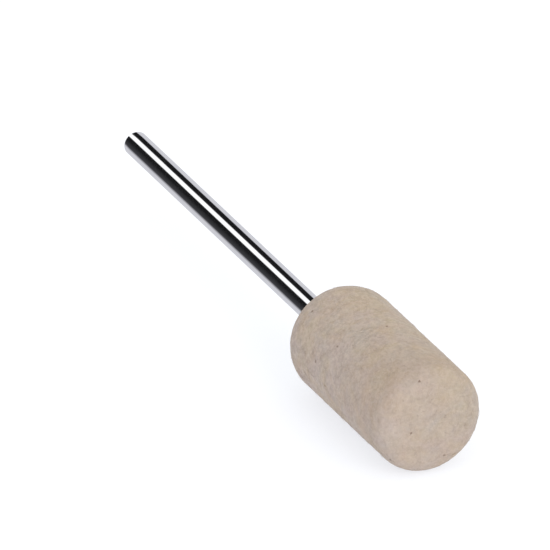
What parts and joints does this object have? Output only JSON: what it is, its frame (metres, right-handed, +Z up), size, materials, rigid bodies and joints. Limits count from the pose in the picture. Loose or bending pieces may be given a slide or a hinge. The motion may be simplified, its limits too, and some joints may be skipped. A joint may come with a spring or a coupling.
{
  "type": "mounted felt polishing bob",
  "caption": "Cylindrical felt polishing head on a straight round steel shank, flat face with a rounded edge, domed shoulder at the shank.",
  "frame": {"origin": "on the spin axis, where the shank leaves the back of the felt head", "axes": "+Y along the spin axis, out of the felt towards the shank's free end; the flat working face looks along -Y; +Z up"},
  "size_m": [0.0142, 0.084, 0.0142],
  "materials": {
    "pressed_felt": "pressed wool felt, undyed warm grey, matted fibre surface",
    "bright_steel": "bright ground and polished steel",
    "cured_glue": "cured amber resin glue"
  },
  "bodies": {
    "root": {"felt_head": "pressed_felt", "steel_shank": "bright_steel", "glue_bond": "cured_glue"}
  },
  "joints": []
}
